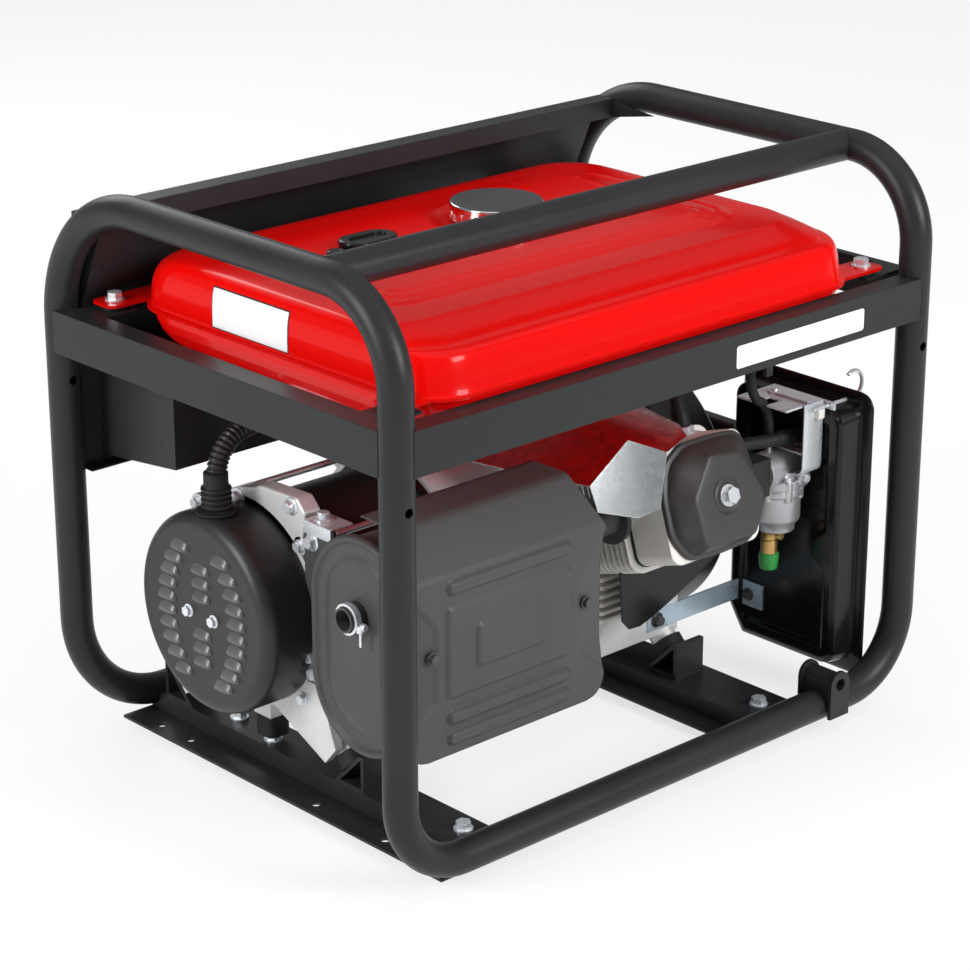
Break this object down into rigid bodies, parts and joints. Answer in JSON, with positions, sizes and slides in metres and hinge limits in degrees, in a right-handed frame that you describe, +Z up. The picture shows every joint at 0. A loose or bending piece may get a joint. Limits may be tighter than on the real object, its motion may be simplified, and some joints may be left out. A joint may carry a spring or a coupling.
{
  "type": "portable generator",
  "caption": "Open-frame portable generator with a red tank, a petrol engine driving an alternator, a muffler behind a heat shield, and a rear control panel.",
  "frame": {"origin": "on the floor, centred under the box that holds the machine", "axes": "+X along the crankshaft towards the recoil starter, +Y towards the control panel, +Z up"},
  "size_m": [0.709, 0.5274, 0.5835],
  "materials": {
    "frame_black": "satin black powder coat",
    "tank_red": "gloss red enamel",
    "shield_grey": "satin heat-proof grey paint",
    "cover_black": "satin black paint on pressed sheet",
    "cast_aluminium": "raw die casting",
    "zinc_steel": "bright zinc plating",
    "galvanised": "galvanised sheet",
    "core_steel": "bare laminations and machined iron",
    "copper_wire": "varnished windings",
    "brass_fuel": "brass fittings",
    "chrome_cap": "bright plated cap",
    "rubber_black": "moulded rubber",
    "plastic_black": "matte moulding",
    "plastic_gloss": "gloss moulding",
    "plastic_red": "red moulding",
    "filter_foam": "open foam",
    "rocker_brown": "satin dark paint"
  },
  "bodies": {
    "frame": {"left_hoop": "frame_black", "right_hoop": "frame_black", "top_rail": "frame_black", "mid_rails": "frame_black", "base_plates": "frame_black", "vibration_mounts": "rubber_black", "feet": "rubber_black", "axle_lugs": "frame_black", "frame_bolts": "zinc_steel", "tank_upper_shell": "tank_red", "tank_lower_shell": "tank_red", "fuel_strainer": "plastic_black", "fuel_gauge": "plastic_black", "fuel_cock": "brass_fuel", "fuel_hose": "rubber_black", "alternator_end_cover": "cover_black", "rear_end_bracket": "cast_aluminium", "stator_core": "core_steel", "stator_windings": "copper_wire", "drive_end_bracket": "cast_aluminium", "voltage_regulator": "plastic_black", "bearings": "zinc_steel", "engine_bolts": "zinc_steel", "crankcase": "cast_aluminium", "crankcase_cover": "cast_aluminium", "piston_and_rod": "cast_aluminium", "cylinder_head": "cast_aluminium", "rocker_cover": "rocker_brown", "fan_housing": "cover_black", "recoil_housing": "cover_black", "cylinder_shroud": "galvanised", "carburettor": "cast_aluminium", "air_cleaner_base": "plastic_gloss", "air_cleaner_cover": "plastic_gloss", "filter_element": "filter_foam", "zinc_brackets": "zinc_steel", "spark_plug_lead": "rubber_black", "muffler": "shield_grey", "heat_shield": "shield_grey", "panel_box": "frame_black", "panel_rear_cover": "plastic_black", "panel_fittings": "plastic_black", "conduit": "plastic_black"},
    "crank": {"rotor": "core_steel", "crankshaft": "core_steel", "flywheel": "core_steel"},
    "reel": {"recoil_reel": "plastic_black"},
    "pull_grip": {"recoil_handle": "plastic_black"},
    "filler_cap": {"fuel_cap": "chrome_cap"},
    "tap_lever": {"fuel_cock_lever": "plastic_black"},
    "choke": {"choke_rod": "zinc_steel"},
    "governor": {"governor_arm": "zinc_steel"},
    "key": {"engine_switch_key": "plastic_black"},
    "toggle": {"breaker_toggle": "plastic_gloss"},
    "button": {"reset_button": "plastic_red"},
    "lid_left": {"socket_lid_left": "plastic_gloss"},
    "lid_right": {"socket_lid_right": "plastic_gloss"},
    "needle": {"meter_needle": "plastic_red"},
    "dipstick": {"oil_dipstick": "plastic_black"}
  },
  "joints": [
    {"name": "crank_turn", "type": "hinge", "parent": "frame", "child": "crank", "pos_m": [0, 0.062, 0.184], "axis": [1, 0, 0], "continuous": true},
    {"name": "reel_turn", "type": "hinge", "parent": "frame", "child": "reel", "pos_m": [0.2795, 0.062, 0.184], "axis": [1, 0, 0], "range_deg": [0, 1357], "stiffness_Nm_per_rad": 0.05, "springref_deg": -114.59},
    {"name": "grip_pull", "type": "slide", "parent": "frame", "child": "pull_grip", "axis": [1, 0, 0], "range_m": [0, 0.902]},
    {"name": "cap_turn", "type": "hinge", "parent": "frame", "child": "filler_cap", "pos_m": [0.03, 0.03, 0.5313], "axis": [0, 0, 1], "range_deg": [0, 90]},
    {"name": "tap_turn", "type": "hinge", "parent": "frame", "child": "tap_lever", "pos_m": [0.205, -0.17, 0.395], "axis": [0, 1, 0], "range_deg": [0, 90]},
    {"name": "choke_pull", "type": "slide", "parent": "frame", "child": "choke", "axis": [1, 0, 0], "range_m": [0, 0.012]},
    {"name": "governor_swing", "type": "hinge", "parent": "frame", "child": "governor", "pos_m": [0.258, -0.136, 0.3233], "axis": [0, 0, 1], "range_deg": [-12, 12], "stiffness_Nm_per_rad": 0.05},
    {"name": "key_turn", "type": "hinge", "parent": "frame", "child": "key", "pos_m": [-0.1, 0.251, 0.387], "axis": [0, 1, 0], "range_deg": [0, 90]},
    {"name": "toggle_swing", "type": "hinge", "parent": "frame", "child": "toggle", "pos_m": [-0.02, 0.247, 0.387], "axis": [1, 0, 0], "range_deg": [-20, 20]},
    {"name": "button_press", "type": "slide", "parent": "frame", "child": "button", "axis": [0, -1, 0], "range_m": [0, 0.003], "stiffness_N_per_m": 300, "springref_m": -0.001},
    {"name": "lid_left_swing", "type": "hinge", "parent": "frame", "child": "lid_left", "pos_m": [0.13, 0.25305, 0.414], "axis": [1, 0, 0], "range_deg": [0, 100], "stiffness_Nm_per_rad": 0.02, "springref_deg": -17.19},
    {"name": "lid_right_swing", "type": "hinge", "parent": "frame", "child": "lid_right", "pos_m": [0.225, 0.25305, 0.414], "axis": [1, 0, 0], "range_deg": [0, 100], "stiffness_Nm_per_rad": 0.02, "springref_deg": -17.19},
    {"name": "needle_swing", "type": "hinge", "parent": "frame", "child": "needle", "pos_m": [-0.2, 0.246, 0.387], "axis": [0, 1, 0], "range_deg": [0, 90], "stiffness_Nm_per_rad": 0.0005, "springref_deg": -11.46},
    {"name": "dipstick_turn", "type": "hinge", "parent": "frame", "child": "dipstick", "pos_m": [0.11, 0.15, 0.101], "axis": [0, 1, 0], "range_deg": [0, 180]}
  ],
  "couplings": [
    {"joint": "grip_pull", "follows": "reel_turn", "m_per_rad": 0.038}
  ]
}
